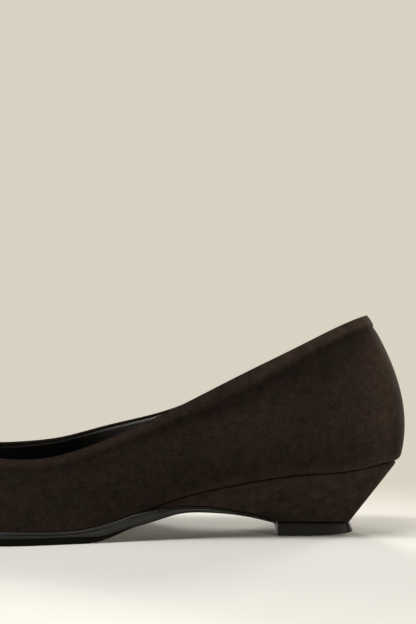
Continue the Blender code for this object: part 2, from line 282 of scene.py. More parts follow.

# The folded band along the topline, by the station of a rib's head: how far below the topline its lower
# edge is, how softly that edge blends into the wall, and how much painted highlight lies along its crown.
# Then the trough
# under it: distance below the topline, half width and depth, and how many half widths down its painted
# shade runs out.
Band = namedtuple("Band", "station edge blend rim below half depth tail")
BAND = (
    Band(15.0, 5.0, 0.6, 0.60, 6.0, 1.2, 0.26, 2.5),
    Band(25.0, 5.1, 0.8, 0.60, 6.5, 1.5, 0.32, 6.5),
    Band(36.0, 5.5, 1.2, 0.58, 7.9, 2.2, 0.40, 5.2),
    Band(50.0, 6.2, 1.6, 0.50, 9.6, 2.6, 0.44, 2.6),
    Band(58.0, 6.6, 1.6, 0.30, 9.8, 2.6, 0.44, 1.9),
    Band(66.0, 7.0, 1.6, 0.08, 10.3, 2.6, 0.44, 1.9),
    Band(76.0, 6.7, 1.6, 0.12, 9.6, 2.5, 0.42, 1.9),
    Band(84.0, 6.0, 1.6, 0.24, 8.4, 2.3, 0.38, 1.9),
    Band(97.0, 5.2, 1.5, 0.30, 6.4, 1.7, 0.24, 1.9),
    Band(115.0, 4.6, 1.3, 0.40, 5.4, 1.6, 0.12, 1.9),
    Band(THROAT, 4.6, 1.1, 0.40, 5.2, 1.5, 0.06, 1.9),
)

# Painted light and shade along the shoe, as shares of the suede's colour, palest in a painted highlight
# round the back of the heel; and how much painted light or shade the feather edge adds to that
PaintedLightAlong = namedtuple("PaintedLightAlong", "station share foot")
PAINTED_LIGHT_ALONG = (
    PaintedLightAlong(0, 0.9, -0.35),
    PaintedLightAlong(5, 1.22, -0.38),
    PaintedLightAlong(10, 1.82, -0.4),
    PaintedLightAlong(13, 1.68, -0.4),
    PaintedLightAlong(17, 1.4, -0.34),
    PaintedLightAlong(24, 1.09, -0.26),
    PaintedLightAlong(36, 0.96, -0.2),
    PaintedLightAlong(60, 1.0, -0.2),
    PaintedLightAlong(90, 0.85, -0.2),
    PaintedLightAlong(115, 0.77, -0.04),
    PaintedLightAlong(130, 0.73, 0.3),
    PaintedLightAlong(150, 0.71, 0.3),
    PaintedLightAlong(LENGTH, 0.73, 0.1),
)

# The lining is matt in the vamp and smoother leather round the quarters; painted shade makes it darkest
# deep in the vamp and greyer round the quarters
VAMP_SHADE_STATIONS = (100.0, 138.0)
VAMP_SHADE = 0.04

# A painted highlight along the lining's turned hem for a few millimetres, and painted shade in its fold
HEM_HIGHLIGHT = 0.8
HEM_HIGHLIGHT_FADE = 3.4
FOLD_SHADE = 0.3

# Distances below the topline of the rows that shape the band, from its trough up
BAND_ROWS = (16.0, 14.0, 12.2, 10.6, 9.4, 8.4, 7.4, 6.6, 5.9, 5.3, 4.8, 4.3, 3.8, 3.2, 2.5, 1.8, 1.2)

# The camera, from the photograph: level, facing the shoe's inner side, in millimetres and pixels
PHOTO_LONG_SIDE = 624.0
FOCAL_PIXELS = 1500.0
SENSOR = 36.0
VIEW_DISTANCE = 598.9
VIEW_HEIGHT = 87.1
VIEW_FROM_BACK = 78.25
VIEW_NEAREST = 10.0

# Studio colours, as linear light
BACKDROP = (0.686, 0.645, 0.539)
FLOOR = (0.785, 0.785, 0.77)

# Half the floor's side, and how far out from its middle the floor is lost in the backdrop, in metres
FLOOR_HALF = 6.0
FLOOR_MIDDLE = (0.02, -0.15, 0.0)
FLOOR_FADE = (0.12, 0.36)

# Lamps hang round the shoe, aimed at it: place and size in metres, power in watts. The light from the right
# is the warmest, as if thrown back by a wall.
SOFT = (1.0, 0.975, 0.93)
BACK = (1.0, 0.955, 0.87)
WARM = (1.0, 0.88, 0.7)
Lamp = namedtuple("Lamp", "name place size power colour")
LAMPS = (
    Lamp("overhead", (-0.1, 0.1, 2.0), 1.6, 8.2, SOFT),
    Lamp("key_left", (-0.9, -0.4, 2.0), 0.6, 24.8, SOFT),
    Lamp("key_front", (-0.3, -0.8, 2.2), 0.5, 11.3, SOFT),
    Lamp("right_front", (1.2, -1.3, 0.4), 0.6, 14.2, WARM),
    Lamp("back_middle", (0.0, 2.2, 0.82), 0.4, 30.0, BACK),
    Lamp("back_left", (-1.5, 2.0, 0.5), 0.8, 43.3, BACK),
    Lamp("back_right", (1.5, 2.0, 0.5), 0.8, 40.1, BACK),
)
LAMP_AIM = (0.0, 0.0, 0.03)

# How strongly the backdrop lights the shoe
AMBIENT = 0.01


def smooth(low, high, value):
    """Smooth step from 0 at low to 1 at high."""
    share = np.clip((value - low) / (high - low), 0, 1)
    return share * share * (3 - 2 * share)


def hump(value, middle, half):
    """A soft hump of height 1 at middle."""
    return np.exp(-(((value - middle) / half) ** 2))


def natural_spline(stations, values, at):
    """Natural cubic spline through (stations, values), read at the stations in at."""
    stations, values, at = (np.asarray(a, float) for a in (stations, values, at))
    count = len(stations)
    step = np.diff(stations)
    slope = np.diff(values) / step
    system = np.eye(count)
    right = np.zeros(count)
    for i in range(1, count - 1):
        system[i, i - 1 : i + 2] = step[i - 1], 2 * (step[i - 1] + step[i]), step[i]
        right[i] = 6 * (slope[i] - slope[i - 1])
    bend = np.linalg.solve(system, right)
    i = np.clip(np.searchsorted(stations, at) - 1, 0, count - 2)
    b = (at - stations[i]) / step[i]
    a = 1 - b
    curve = ((a**3 - a) * bend[i] + (b**3 - b) * bend[i + 1]) * step[i] ** 2 / 6
    return a * values[i] + b * values[i + 1] + curve


def closed_spline(rows, places):
    """Periodic cubic spline through the rows, read at places counted in rows from the first."""
    rows = np.asarray(rows, float)
    count = len(rows)
    turn = np.roll(np.eye(count), 1, axis=0)
    jump = np.roll(rows, -1, 0) - 2 * rows + np.roll(rows, 1, 0)
    bend = np.linalg.solve(4 * np.eye(count) + turn + turn.T, 6 * jump)
    i = places.astype(int)
    j = (i + 1) % count
    b = (places - i)[:, None]
    a = 1 - b
    return a * rows[i] + b * rows[j] + ((a**3 - a) * bend[i] + (b**3 - b) * bend[j]) / 6


def open_spline(rows, samples):
    """Natural cubic spline through the rows, read at even steps from the first row to the last."""
    rows = np.asarray(rows, float)
    at = np.linspace(0, len(rows) - 1, samples)
    return np.stack([natural_spline(range(len(rows)), column, at) for column in rows.T], axis=1)


def toeward(station):
    """Share of the way from the ball to the tip, growing ever faster from nothing at the ball."""
    return np.clip((station - SPRING_START) / (LENGTH - SPRING_START), 0, None) ** SPRING_POWER


def feather(station):
    """Height of the underside of the upper."""
    rows = np.array(FEATHER)
    return natural_spline(rows[:, 0], rows[:, 1], station) + TOE_SPRING * toeward(station)


def tread(station):
    """Height of the underside of the sole."""
    rows = np.array(UNDER)
    waist = natural_spline(rows[:, 0], rows[:, 1], station)
    flat = rows[-1, 0]
    return np.where(station < flat, np.maximum(waist, 0), 0) + TOE_SPRING * toeward(station)


def sole_top(station):
    """Height of the sole's top: under the wedge along the flap, and under the upper in front of it."""
    stations = [row.station for row in FLAP]
    flap = natural_spline(stations, [row.top for row in FLAP], station)
    return np.where(station < stations[-1], flap, feather(station) - GAP)


def turn_radius(station):
    """Radius of the suede's turn under the foot: wide over the wedge, tight on the sole."""
    return FEATHER_RADIUS + (SOLE_TURN - FEATHER_RADIUS) * smooth(*TURN_FADE, station)


def plan_normals(loop, closed=True):
    """Outward unit normals of a plan loop of (station, across) that runs back to toe on the inner side."""
    if closed:
        along = np.roll(loop, -1, 0) - np.roll(loop, 1, 0)
    else:
        along = np.gradient(loop, axis=0)
    along /= np.linalg.norm(along, axis=1)[:, None]
    return np.stack([along[:, 1], -along[:, 0]], axis=1)


def round_toe(rows):
    """Plan rows of (station, inner half, outer half) as one line from the back round the toe."""
    inner = [(station, -half) for station, half, _ in rows]
    outer = [(station, half) for station, _, half in rows]
    return inner + outer[-2::-1]


def round_back(rows):
    """The same rows as one line from the front of the outer side round the back to the inner side."""
    inner = [(station, -half) for station, half, _ in rows]
    outer = [(station, half) for station, _, half in rows]
    return outer[::-1] + inner[1:]


def frame_offset():
    """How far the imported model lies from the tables' own place, read off the heel tip."""
    low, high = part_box("top_piece")
    front = (LENGTH / 2 - TIP_PLAN[-1].station) * MM
    return np.array([low.x - front, (low.y + high.y) / 2, low.z])


def in_space(plan, height):
    """Points of the frame from plan points and heights, with the last's axis swung inwards at the toe."""
    station = plan[:, 0]
    across = plan[:, 1] - TOE_SWING * toeward(station)
    return np.stack([LENGTH / 2 - station, across, height], axis=1) * MM + frame_offset()


def ring_places():
    """Places round the shoe, in ribs from the centre back: even steps, close-set at the back seam."""
    count = 2 * (len(RIBS) - 1)
    close = SEAM_STEP * np.arange(SEAM_SAMPLES + 1)
    even = np.linspace(close[-1], count - close[-1], RING_SAMPLES)
    return np.concatenate([close, even[1:-1], count - close[:0:-1]])


def leans(rib):
    """How a rib leaves its foot and reaches its head."""
    return rib.foot_lean, rib.foot_pull, rib.top_lean, rib.top_pull


def rib_loop():
    """Feet, heads and leans of the ribs, sampled round the shoe from the centre back."""
    inner = [(r.foot, -r.foot_inner, r.top, -r.top_inner, r.high_inner, *leans(r)) for r in RIBS]
    outer = [(r.foot, r.foot_outer, r.top, r.top_outer, r.high_outer, *leans(r)) for r in RIBS]
    loop = closed_spline(inner + outer[-2:0:-1], ring_places())
    return loop[:, 0:2], loop[:, 2:5], loop[:, 5:9]


def leaning(plan_direction, angle):
    """Unit directions that lean from the vertical towards a plan direction by an angle."""
    flat = np.stack([-plan_direction[:, 0], plan_direction[:, 1], np.zeros(len(angle))], axis=1)
    return np.sin(angle)[:, None] * flat + np.cos(angle)[:, None] * np.array([0, 0, 1.0])


def bezier(p0, p1, p2, p3, samples):
    """Points of cubic curves from p0 to p3, at even steps."""
    t = np.linspace(0, 1, samples)[:, None, None]
    return (1 - t) ** 3 * p0 + 3 * t * (1 - t) ** 2 * p1 + 3 * t**2 * (1 - t) * p2 + t**3 * p3


Last = namedtuple("Last", "foot foot_out foot_lean head path length")


def last_surface():
    """The last: each rib's foot in plan, and its path from the feather corner up to the topline."""
    foot, head, lean = rib_loop()
    foot_out = plan_normals(foot)
    head_out = plan_normals(head[:, :2])
    foot_lean, foot_pull, top_lean, top_pull = lean.T
    foot_lean, top_lean = np.radians(foot_lean), np.radians(top_lean)
    radius = turn_radius(foot[:, 0])
    start = foot - (radius * (1 - np.cos(foot_lean)))[:, None] * foot_out
    low = in_space(start, feather(start[:, 0]) + radius * (1 - np.sin(foot_lean)))
    high = in_space(head[:, :2], head[:, 2])
    rising = leaning(foot_out, foot_lean) * foot_pull[:, None] * MM
    falling = leaning(head_out, math.pi - top_lean) * top_pull[:, None] * MM
    path = bezier(low, low + rising, high + falling, high, BEZIER_SAMPLES)
    length = np.linalg.norm(np.diff(path, axis=0), axis=2).sum(axis=0) / MM
    return Last(foot, foot_out, foot_lean, head, path, length)


def lasted_rows(last):
    """Rows of the last from the lasted margin under the foot round the feather corner."""
    radius = turn_radius(last.foot[:, 0])
    rows = []
    for share in np.linspace(0, 1, MARGIN_ROWS, endpoint=False):
        inset = MARGIN + share * (radius - MARGIN)
        under = last.foot - inset[:, None] * last.foot_out
        rows.append(in_space(under, feather(under[:, 0])))
    for turn in np.linspace(0, 1, CORNER_ROWS, endpoint=False):
        angle = turn * (math.pi / 2 - last.foot_lean)
        corner = last.foot - (radius * (1 - np.sin(angle)))[:, None] * last.foot_out
        rows.append(in_space(corner, feather(corner[:, 0]) + radius * (1 - np.cos(angle))))
    return np.array(rows)


def at_lengths(last, lengths):
    """Points of each rib's path at the given lengths along it, in millimetres; lengths is rows by ribs."""
    steps = np.linalg.norm(np.diff(last.path, axis=0), axis=2) / MM
    run = np.concatenate([np.zeros((1, steps.shape[1])), np.cumsum(steps, axis=0)])
    rows = np.empty((*lengths.shape, 3))
    for rib in range(lengths.shape[1]):
        for axis in range(3):
            rows[:, rib, axis] = np.interp(lengths[:, rib], run[:, rib], last.path[:, rib, axis])
    return rows


def last_rows(last, below_top):
    """Rows of the last from the margin up, ending at the given distances below the topline.

    Returns the rows and, for each point, its distance below the topline in millimetres.
    """
    lasted = lasted_rows(last)
    even = np.linspace(0, 1, WALL_ROWS, endpoint=False)[:, None] * (last.length - below_top[0])
    top = last.length - np.array(below_top)[:, None]
    along = np.concatenate([even, top])
    rows = np.concatenate([lasted, at_lengths(last, along)])
    below = last.length - np.concatenate([np.zeros((len(lasted), along.shape[1])), along])
    return rows, below


def grid_normals(rows):
    """Outward unit normals of rows of points that each close on themselves."""
    across = np.roll(rows, -1, axis=1) - np.roll(rows, 1, axis=1)
    normal = np.cross(np.gradient(rows, axis=0), across)
    return normal / np.linalg.norm(normal, axis=2)[:, :, None]


def folded_edge(last, face, back):
    """Rows of the half round that joins the top rows of a sheet's face and back."""
    middle = (face + back) / 2
    out = (face - back) / 2
    up = last.path[-1] - middle
    up *= np.linalg.norm(out, axis=1)[:, None] / np.linalg.norm(up, axis=1)[:, None]
    angles = np.linspace(0, math.pi, ROLL_ROWS + 2)[1:-1]
    return np.array([middle + math.cos(a) * out + math.sin(a) * up for a in angles])


def band_shape(last):
    """The shape of the band and of the trough under it, for each rib."""
    table = np.array(BAND).T
    return Band(*(np.interp(last.head[:, 0], table[0], column) for column in table))


def band_lift(last, below):
    """How far the suede stands off the last near the topline: the folded band and the trough under it."""
    band = band_shape(last)
    raised = BAND_RAISE * (1 - smooth(band.edge - band.blend, band.edge + band.blend, below))
    crown = CROWN_DROP * np.clip(1 - below / CROWN_WIDTH, 0, 1) ** 2
    return raised - crown - band.depth * hump(below, band.below, band.half)


def back_seam(rows, below):
    """The closed seam down the centre back, from band to feather edge: a groove between low ridges."""
    across = np.abs(rows[:, :, 1] - frame_offset()[1]) / MM
    at_back = rows[:, :, 0] > rows[:, :, 0].max() - SEAM_REACH * MM
    ridges = SEAM_RIDGE * hump(across, SEAM_RIDGE_OUT, SEAM_RIDGE_HALF)
    groove = ridges - SEAM_DEPTH * hump(across, 0, SEAM_HALF)
    return np.where(at_back, groove, 0) * smooth(BAND_WIDTH, BAND_WIDTH + SEAM_FADE, below)


def suede_shell(last):
    """Section rows of the suede: up its face, over the folded topline and down its back."""
    rows, below = last_rows(last, (*BAND_ROWS, TOP_ROLL))
    normal = grid_normals(rows)
    lift = band_lift(last, below) + back_seam(rows, below)
    face = rows + lift[:, :, None] * MM * normal
    back = rows - SUEDE * MM * normal
    fold = folded_edge(last, face[-1], back[-1])
    return np.concatenate([face, fold, back[::-1]])


def stations_of(points):
    """Stations of points in the frame."""
    return LENGTH / 2 - (points[..., 0] - frame_offset()[0]) / MM


def suede_painted_shade(last):
    """Painted light and shade of the suede at each point of its section rows, as shares of its colour.

    A painted highlight round the back of the heel, painted shade in the trough under the band, painted
    highlights along the band's crown and the rolled feather edge, and painted light or shade low on the
    wall at the feather edge.
    """
    rows, below = last_rows(last, (*BAND_ROWS, TOP_ROLL))
    band = band_shape(last)
    # Painted shade in the trough under the band, centred between its lower edge and the trough, running
    # further down than up
    flank = (band.edge + band.below) / 2
    spread = np.where(below > flank, band.tail, TROUGH_SHADE_SPREAD) * band.half
    trough = TROUGH_SHADE * band.depth / max(row.depth for row in BAND) * hump(below, flank, spread)
    # Painted highlight along the band's crown, fading out below its lower edge
    rim = band.rim * (1 - smooth(band.edge - 2 * band.blend, band.edge, below))
    # Painted light and shade along the shoe, and the painted light or shade of the feather edge, fading out
    # up the wall
    table = np.array(PAINTED_LIGHT_ALONG).T
    painted_lighting, foot = (np.interp(stations_of(rows), table[0], column) for column in table[1:])
    above = last.length - below
    foot = foot * (1 - smooth(0, FOOT_LIGHT_REACH, above))
    # Painted highlight in a thin line along the rolled feather edge
    edge = EDGE_HIGHLIGHT * hump(above, 0, EDGE_HIGHLIGHT_HALF)
    painted_shading = painted_lighting * (1 - trough + rim + foot + edge)
    fold = np.repeat(painted_shading[-1:], ROLL_ROWS, axis=0)
    return np.concatenate([painted_shading, fold, painted_shading[::-1]])


def lining_rows(last):
    """Rows of the last that the lining covers, and how far each point is below the topline."""
    rows, below = last_rows(last, (*BAND_ROWS[:-1], LINING_DROP + (WALL - SUEDE) / 2))
    return rows[MARGIN_ROWS + CORNER_ROWS :], below[MARGIN_ROWS + CORNER_ROWS :]


def lining_painted_shade(last):
    """Painted light and shade of the lining at each point of its section rows, as shares of its grey."""
    rows, below = lining_rows(last)
    # Painted shade deep in the vamp, a painted highlight along the hem, and painted shade in the fold
    vamp = 1 + (VAMP_SHADE - 1) * smooth(*VAMP_SHADE_STATIONS, stations_of(rows))
    face = vamp * (1 + HEM_HIGHLIGHT * (1 - smooth(LINING_DROP, LINING_DROP + HEM_HIGHLIGHT_FADE, below)))
    fold = np.repeat(FOLD_SHADE * face[-1:], ROLL_ROWS, axis=0)
    return np.concatenate([face, fold, face[::-1]])


def lining_shell(last):
    """Section rows of the lining, hemmed just under the suede's turned edge, down to the sock."""
    rows, below = lining_rows(last)
    normal = grid_normals(rows)
    hem = LINING_DROP + LINING_HEM
    depth = WALL + LINING_HEM_RAISE * (1 - smooth(hem, hem + LINING_HEM / 2, below))
    face = rows - (SUEDE + LAYER_GAP) * MM * normal
    back = rows - depth[:, :, None] * MM * normal
    return np.concatenate([face, folded_edge(last, face[-1], back[-1]), back[::-1]])


def sock_rings():
    """The leather sock over the insole, out to the lining."""
    foot, _, _ = rib_loop()
    rings = []
    for edge in SOCK_EDGE:
        plan = foot - edge.inset * plan_normals(foot)
        rings.append(in_space(plan, feather(plan[:, 0]) + WALL + GAP + edge.share * INSOLE_THICK))
    return rings


def sole_plan():
    """Plan line of the sole's edge, from the flap's end along the inner side to the toe and back."""
    rows = [(row.station, row.inner, row.outer) for row in FLAP]
    for rib in RIBS:
        if rib.foot > FLAP[-1].station:
            rows.append((rib.foot, rib.foot_inner + SOLE_REVEAL, rib.foot_outer + SOLE_REVEAL))
    rows[-1] = (RIBS[-1].foot + SOLE_REVEAL, 0, 0)
    return open_spline(round_toe(rows), SOLE_SAMPLES)


def tread_top(station):
    """Height of the top of the tread, a thin layer under the forepart that runs out under the arch."""
    return tread(station) + TREAD_THIN + (TREAD_THICK - TREAD_THIN) * smooth(*TREAD_FADE, station)


def bead_foot(station):
    """Height of the underside of the thin bead along the sole's top edge."""
    return sole_top(station) - BEAD_DEPTH


def bead_top(station):
    """Height of the bead's top, which lies against the suede in front of the wedge."""
    return sole_top(station) + BEAD_RISE * smooth(*BEAD_START, station)


def layer_rings(edges, bottom, top):
    """A layer of the sole between two heights, with the given side."""
    loop = sole_plan()
    normal = plan_normals(loop, closed=False)
    rings = []
    for edge in edges:
        plan = loop - edge.inset * normal
        low, high = bottom(plan[:, 0]), top(plan[:, 0])
        rings.append(in_space(plan, low + edge.share * (high - low)))
    return rings


def halves_at(rows, station):
    """The plan row of (station, inner half, outer half) that the given rows have at a station."""
    inner = natural_spline(rows[:, 0], rows[:, 1], station)
    outer = natural_spline(rows[:, 0], rows[:, 2], station)
    return station, float(inner), float(outer)


def wedge_top():
    """Plan rows of the wedge's top, set back from the feather edge, from the centre back forward."""
    feet = np.array([(rib.foot, rib.foot_inner, rib.foot_outer) for rib in RIBS])
    seat = [row for row in feet if row[0] < WEDGE_TIP]
    seat.append(halves_at(feet, WEDGE_TIP))
    rows = [(station, inner - HEEL_SETBACK, outer - HEEL_SETBACK) for station, inner, outer in seat]
    rows[0] = (RIBS[0].foot + HEEL_SETBACK, 0, 0)
    return rows


def wedge_foot():
    """Plan rows of the wedge's foot: the heel tip's outline, then the flap's as far as the wedge goes."""
    flap = np.array([(row.station, row.inner - FLAP_REVEAL, row.outer - FLAP_REVEAL) for row in FLAP])
    rows = [(row.station, row.half, row.half) for row in TIP_PLAN]
    rows += [tuple(row) for row in flap[1:-1]]
    return rows + [halves_at(flap, WEDGE_TIP)]


def heel_rings():
    """The suede wedge, from its foot on tip and flap up to the feather line, swelling halfway up."""
    foot = open_spline(round_back(wedge_foot()), HEEL_SAMPLES)
    top = open_spline(round_back(wedge_top()), HEEL_SAMPLES)
    on_tip = foot[:, 0] < FLAP[0].station
    low = np.where(on_tip, TIP_HEIGHT, sole_top(foot[:, 0])) + GAP
    high = feather(top[:, 0]) - GAP
    wall = [Edge(0, share) for share in np.linspace(*WEDGE_WALL, HEEL_LEVELS)]
    rings = []
    for edge in (*WEDGE_FOOT_EDGE, *wall, *WEDGE_TOP_EDGE):
        plan = foot + edge.share * (top - foot)
        swell = 4 * edge.share * (1 - edge.share)
        plan = plan + (HEEL_BULGE * swell - edge.inset) * plan_normals(plan, closed=False)
        rings.append(in_space(plan, low + edge.share * (high - low)))
    return rings


def tip_rings():
    """The heel tip, flaring towards the floor and lifted a little at its back edge."""
    plan = open_spline(round_back([(row.station, row.half, row.half) for row in TIP_PLAN]), TIP_SAMPLES)
    normal = plan_normals(plan, closed=False)
    rings = []
    for edge in TIP_EDGE:
        line = plan + (TIP_FLARE * (1 - edge.share) - edge.inset) * normal
        worn = np.clip((TIP_PLAN[0].station + TIP_LIFT_LENGTH - line[:, 0]) / TIP_LIFT_LENGTH, 0, None)
        lift = TIP_BACK_LIFT * worn**TIP_LIFT_POWER * (1 - edge.share)
        rings.append(in_space(line, edge.share * TIP_HEIGHT + lift))
    return rings


def skin(shape, rows, closed):
    """Joins rows of points, each closed on itself, with quads, and the last row to the first if closed."""
    grid = [[shape.verts.new(point) for point in row] for row in rows]
    count = len(grid[0])
    for low, high in zip(grid, grid[1:] + grid[:1] * closed):
        for i in range(count):
            j = (i + 1) % count
            shape.faces.new((low[i], high[i], high[j], low[j]))
    return grid


def ladder(shape, ring):
    """Closes a ring with rungs from its inner side to its outer side."""
    count = len(ring)
    for i in range((count - 1) // 2):
        rung = (ring[i], ring[i + 1], ring[count - 2 - i], ring[count - 1 - i])
        shape.faces.new(list(dict.fromkeys(rung)))


def add_piece(name, rows, surface, node, closed=False, painted_shading=None):
    """One piece that rides with the shoe and stands for a node.

    It is a sheet closed round its section, or else a solid shut at both ends.
    The optional shading array, where given, is held at the mesh's points: painted light and shade, as
    shares of the material's colour.
    """
    shape = bmesh.new()
    grid = skin(shape, rows, closed)
    if not closed:
        ladder(shape, grid[0])
        ladder(shape, grid[-1])
    bmesh.ops.recalc_face_normals(shape, faces=shape.faces)
    mesh = bpy.data.meshes.new(name)
    shape.to_mesh(mesh)
    shape.free()
    mesh.shade_smooth()
    mesh.set_sharp_from_angle(angle=SHARP_ANGLE)
    mesh.materials.append(surface)
    # The piece's painted light and shade, held at its points for the material to multiply in
    if painted_shading is not None:
        mesh.attributes.new("painted_shading", "FLOAT", "POINT").data.foreach_set("value", painted_shading.ravel())
    piece = bpy.data.objects.new(name, mesh)
    bpy.context.scene.collection.objects.link(piece)
    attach(piece, "root")
    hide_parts(node)


class Surface:
    """A material being put together: its shader, and the texture nodes that feed it."""

    def __init__(self, name, constants):
        self.material = bpy.data.materials.new(name)
        self.material.use_nodes = True
        self.nodes = self.material.node_tree.nodes
        self.links = self.material.node_tree.links
        self.shader = self.nodes["Principled BSDF"]
        self.place = self.nodes.new("ShaderNodeTexCoord").outputs["Object"]
        for socket, value in constants.items():
            self.shader.inputs[socket].default_value = value

    def feed(self, socket, source):
        """Gives a socket of the shader its source."""
        self.links.new(source, self.shader.inputs[socket])

    def noise(self, size, detail, stretch=(1.0, 1.0, 1.0), busy=0.5):
        """Noise with blotches of about the given size in millimetres, longer along the stretched axes.

        busy says how strongly its finer layers show.
        """
        mapping = self.nodes.new("ShaderNodeMapping")
        mapping.inputs["Scale"].default_value = [1 / (size * MM * along) for along in stretch]
        self.links.new(self.place, mapping.inputs["Vector"])
        texture = self.nodes.new("ShaderNodeTexNoise")
        texture.inputs["Scale"].default_value = 1.0
        texture.inputs["Detail"].default_value = detail
        texture.inputs["Roughness"].default_value = busy
        self.links.new(mapping.outputs["Vector"], texture.inputs["Vector"])
        return texture.outputs["Fac"]

    def attribute(self, name):
        """A value that the piece's mesh holds at its points."""
        node = self.nodes.new("ShaderNodeAttribute")
        node.attribute_name = name
        return node.outputs["Fac"]

    def ramp(self, factor, low, high):
        """Colours by factor, between two stops that are each a place from 0 to 1 and a colour."""
        node = self.nodes.new("ShaderNodeValToRGB")
        for element, (place, colour) in zip(node.color_ramp.elements, (low, high)):
            element.position = place
            element.color = (*colour, 1.0)
        self.links.new(factor, node.inputs["Fac"])
        return node.outputs["Color"]

    def mix(self, share, a, b, how="MIX"):
        """Two colours mixed, with the given share of the second."""
        node = self.nodes.new("ShaderNodeMix")
        node.data_type = "RGBA"
        node.blend_type = how
        node.inputs[MIX_FACTOR].default_value = share
        self.links.new(a, node.inputs[MIX_A])
        self.links.new(b, node.inputs[MIX_B])
        return node.outputs[MIX_RESULT]

    def times(self, a, b):
        """The product of two colours."""
        return self.mix(1.0, a, b, "MULTIPLY")

    def span(self, factor, low, high):
        """The factor's middle range spread from low to high."""
        node = self.nodes.new("ShaderNodeMapRange")
        node.inputs["From Min"].default_value = NOISE_MIDDLE[0]
        node.inputs["From Max"].default_value = NOISE_MIDDLE[1]
        node.inputs["To Min"].default_value = low
        node.inputs["To Max"].default_value = high
        self.links.new(factor, node.inputs["Value"])
        return node.outputs["Result"]

    def step(self, value, reach):
        """A smooth step of a value from 0 at one end of its reach to 1 at the other."""
        node = self.nodes.new("ShaderNodeMapRange")
        node.interpolation_type = "SMOOTHSTEP"
        node.inputs["From Min"].default_value = reach[0]
        node.inputs["From Max"].default_value = reach[1]
        self.links.new(value, node.inputs["Value"])
        return node.outputs["Result"]

    def bump(self, height, strength, depth, under=None):
        """Relief of the given depth in millimetres, on top of another relief."""
        node = self.nodes.new("ShaderNodeBump")
        node.inputs["Strength"].default_value = strength
        node.inputs["Distance"].default_value = depth * MM
        self.links.new(height, node.inputs["Height"])
        if under:
            self.links.new(under, node.inputs["Normal"])
        return node.outputs["Normal"]


def suede_material(name, grain_depth, mottle_share):
    """Dark brown suede: reddish and olive patches, a mottle and a short fine pile.

    Its colour is multiplied by the painted light and shade that the mesh holds at its points.
    """
    made = Surface(
        name,
        {
            "Sheen Weight": 0.022,
            "Sheen Roughness": 0.45,
            "Sheen Tint": (1.0, 0.58, 0.28, 1.0),
            "Specular IOR Level": 0.03,
        },
    )
    dark = (0.0100, 0.0070, 0.0061)
    warm = (0.0243, 0.0146, 0.0132)
    olive = (0.0149, 0.0135, 0.0098)
    pale = (0.0290, 0.0221, 0.0174)
    low, high = (1 - grain_depth,) * 3, (1 + grain_depth,) * 3
    patches = made.ramp(made.noise(size=7.0, detail=5.0, busy=0.72), (0.38, olive), (0.61, warm))
    mottle = made.ramp(made.noise(size=3.2, detail=4.0, busy=0.58), (0.32, dark), (0.68, pale))
    fibres = made.noise(size=0.55, detail=3.0)
    grain = made.ramp(fibres, (0.28, low), (0.72, high))
    # The mottled colour is multiplied by the mesh's painted light and shade
    painted_lighting = made.times(made.mix(mottle_share, patches, mottle), made.attribute("painted_shading"))
    made.feed("Base Color", made.times(painted_lighting, grain))
    made.feed("Roughness", made.span(fibres, low=0.82, high=1.0))
    lie = made.bump(made.noise(size=2.0, detail=3.0), strength=0.3, depth=0.2)
    made.feed("Normal", made.bump(fibres, strength=0.6, depth=0.12, under=lie))
    return made.material


def sock_material():
    """The sock: smooth black leather with a fine pebble grain and a soft gloss."""
    made = Surface("sock_leather_fine", {"Specular IOR Level": 0.4})
    dark = (0.004, 0.004, 0.0042)
    light = (0.007, 0.007, 0.0073)
    cloud = made.noise(size=9.0, detail=3.0)
    made.feed("Base Color", made.ramp(cloud, (0.35, dark), (0.65, light)))
    made.feed("Roughness", made.span(cloud, low=0.4, high=0.54))
    made.feed("Normal", made.bump(made.noise(size=0.55, detail=3.0), strength=0.35, depth=0.06))
    return made.material


def lining_material():
    """The lining: grey-black leather, smooth round the quarters and matt in the vamp.

    Its grey is multiplied by the painted light and shade that the mesh holds at its points, which also sets
    how matt it is.
    """
    made = Surface("lining_leather", {"Specular IOR Level": 0.2})
    dark = (0.136, 0.135, 0.133)
    light = (0.176, 0.175, 0.173)
    # The painted light and shade held at the mesh's points, which also sets the roughness
    share = made.attribute("painted_shading")
    leather = made.ramp(made.noise(size=9.0, detail=3.0), (0.35, dark), (0.65, light))
    made.feed("Base Color", made.times(leather, share))
    made.feed("Roughness", made.span(share, low=0.9, high=0.55))
    made.feed("Normal", made.bump(made.noise(size=0.55, detail=3.0), strength=0.35, depth=0.06))
    return made.material


def sole_material():
    """Black sole, its edge inked and polished, with faint scuffs."""
    made = Surface("sole_edge", {"Specular IOR Level": 0.3})
    dark = (0.0062, 0.0066, 0.0058)
    light = (0.0108, 0.0113, 0.0100)
    scuffs = made.noise(size=1.6, detail=4.0, stretch=(5.0, 5.0, 0.5))
    made.feed("Base Color", made.ramp(scuffs, (0.35, dark), (0.7, light)))
    made.feed("Roughness", made.span(scuffs, low=0.28, high=0.4))
    made.feed("Normal", made.bump(made.noise(size=0.8, detail=2.0), strength=0.25, depth=0.05))
    return made.material


def bead_material():
    """The polished bead along the sole's top edge."""
    made = Surface("sole_bead", {"Specular IOR Level": 0.45})
    dark = (0.0105, 0.0108, 0.0110)
    light = (0.0155, 0.0159, 0.0161)
    cloud = made.noise(size=6.0, detail=3.0, stretch=(3.0, 3.0, 1.0))
    made.feed("Base Color", made.ramp(cloud, (0.35, dark), (0.65, light)))
    made.feed("Roughness", made.span(cloud, low=0.26, high=0.36))
    made.feed("Normal", made.bump(made.noise(size=0.6, detail=2.0), strength=0.15, depth=0.03))
    return made.material


